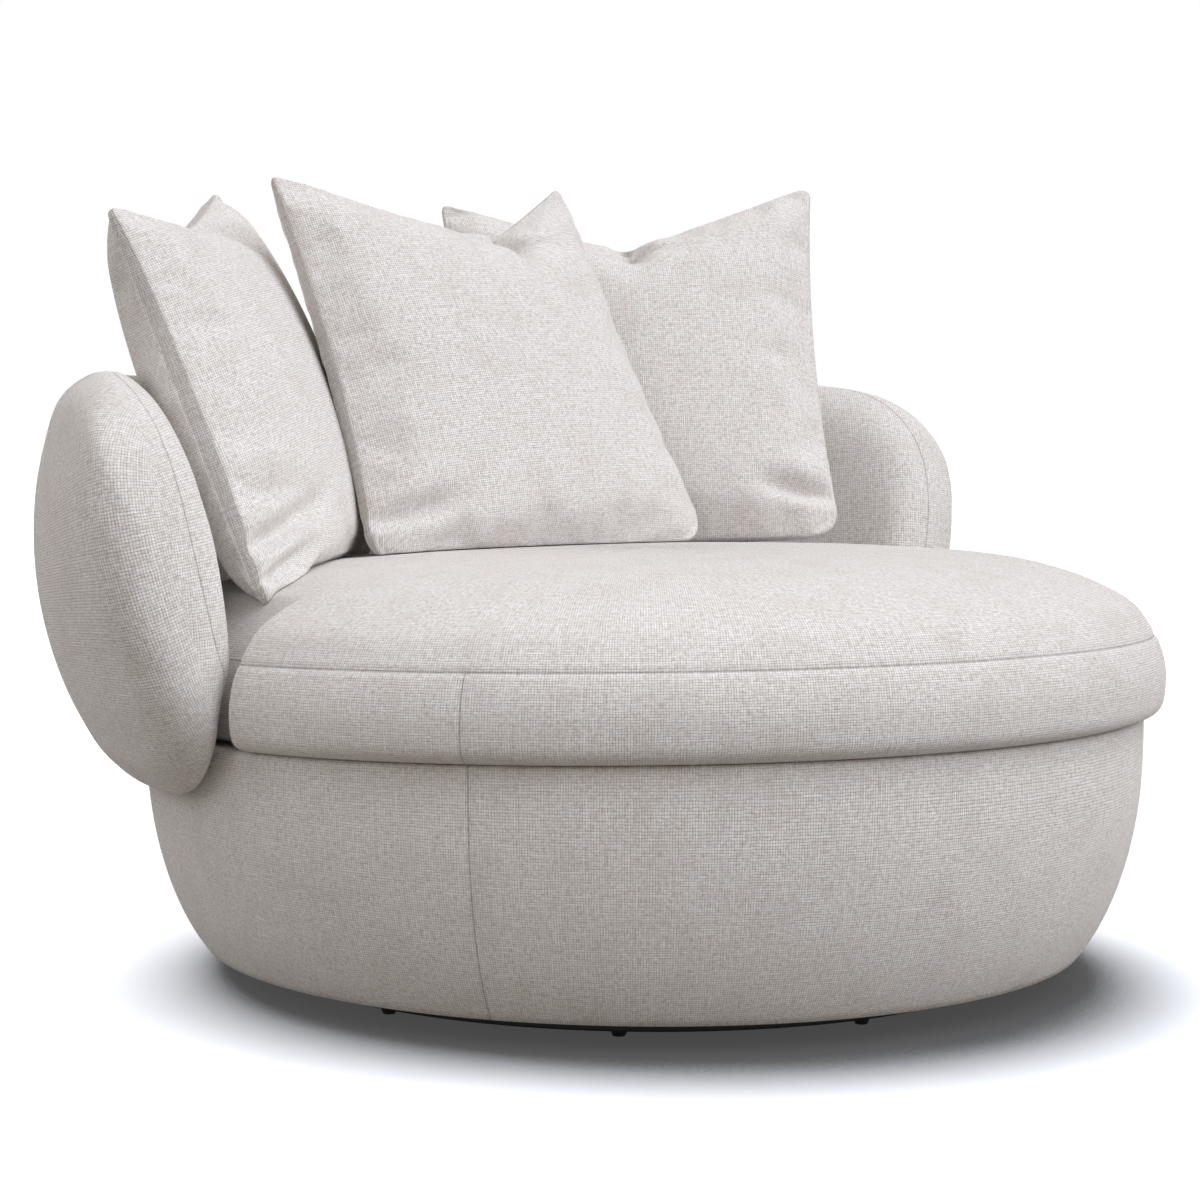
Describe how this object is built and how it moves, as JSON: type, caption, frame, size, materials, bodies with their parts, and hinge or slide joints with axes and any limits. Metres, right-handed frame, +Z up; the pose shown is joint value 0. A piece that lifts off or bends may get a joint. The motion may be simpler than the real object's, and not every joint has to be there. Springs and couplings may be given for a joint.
{
  "type": "swivel cuddle chair",
  "caption": "Round upholstered cuddle chair that turns on a hidden ball race, with a wrap-round back and arms, a domed boxed seat cushion and loose scatter pillows.",
  "frame": {"origin": "on the floor under the middle of the overall outline; the swivel axis is 53 mm in front of it", "axes": "+Z up, -Y towards the front of the seat, +X to the right hand of someone facing the back"},
  "size_m": [1.4892, 1.3747, 0.9984],
  "materials": {
    "woven_cover": "pale greige linen-look basket weave",
    "fibre": "white polyester fibre",
    "foam": "open-cell polyurethane foam",
    "webbing": "elastic webbing",
    "dust_cloth": "black non-woven cloth",
    "plywood": "raw birch plywood",
    "black_paint": "plywood painted satin black",
    "nylon": "moulded nylon",
    "zinc_steel": "zinc-plated pressed steel",
    "bearing_steel": "polished bearing balls"
  },
  "bodies": {
    "floor_base": {"glides": "nylon", "plinth_board": "black_paint", "swivel_lower_screws": "zinc_steel", "swivel_lower_race": "zinc_steel"},
    "ball_ring": {"ball_cage": "nylon", "swivel_balls": "bearing_steel"},
    "turning_chair": {"swivel_upper_race": "zinc_steel", "swivel_upper_screws": "zinc_steel", "base_cover": "woven_cover", "base_foam": "foam", "base_skin_panel": "plywood", "deck_pad": "foam", "webbing_straps": "webbing", "cross_dowels": "zinc_steel", "deck_ring": "plywood", "rim_hoop": "plywood", "base_ribs": "plywood", "bottom_board": "plywood", "dust_cover": "dust_cloth", "back_lower_rail": "plywood", "back_top_rail": "plywood", "back_inner_panel": "plywood", "back_ribs": "plywood", "connector_bolts": "zinc_steel", "spacer_sleeves": "zinc_steel", "back_foam": "foam", "back_inner_cover": "woven_cover", "back_outer_cover": "woven_cover"},
    "seat_cushion": {"seat_cushion_cover": "woven_cover", "seat_fibre_wrap": "fibre", "seat_foam_core": "foam"},
    "left_pillow": {"left_pillow_cover": "woven_cover", "left_pillow_insert": "fibre"},
    "centre_pillow": {"centre_pillow_cover": "woven_cover", "centre_pillow_insert": "fibre"},
    "right_pillow": {"right_pillow_cover": "woven_cover", "right_pillow_insert": "fibre"}
  },
  "joints": [
    {"name": "chair_swivel", "type": "hinge", "parent": "floor_base", "child": "turning_chair", "pos_m": [0, -0.053, 0.0305], "axis": [0, 0, 1], "continuous": true},
    {"name": "ball_ring_turn", "type": "hinge", "parent": "floor_base", "child": "ball_ring", "pos_m": [0, -0.053, 0.0305], "axis": [0, 0, 1], "continuous": true},
    {"name": "cushion_pull_out", "type": "slide", "parent": "turning_chair", "child": "seat_cushion", "axis": [0, -0.9997, 0.0262], "range_m": [0, 0.3]},
    {"name": "left_pillow_lift", "type": "slide", "parent": "seat_cushion", "child": "left_pillow", "axis": [-0.1, 0.375, 0.9216], "range_m": [0, 0.3]},
    {"name": "centre_pillow_lift", "type": "slide", "parent": "seat_cushion", "child": "centre_pillow", "axis": [-0.0692, 0.3801, 0.9223], "range_m": [0, 0.3]},
    {"name": "right_pillow_lift", "type": "slide", "parent": "seat_cushion", "child": "right_pillow", "axis": [0.2283, 0.2844, 0.9311], "range_m": [0, 0.3]}
  ],
  "couplings": [
    {"joint": "ball_ring_turn", "follows": "chair_swivel", "ratio": 0.5}
  ]
}
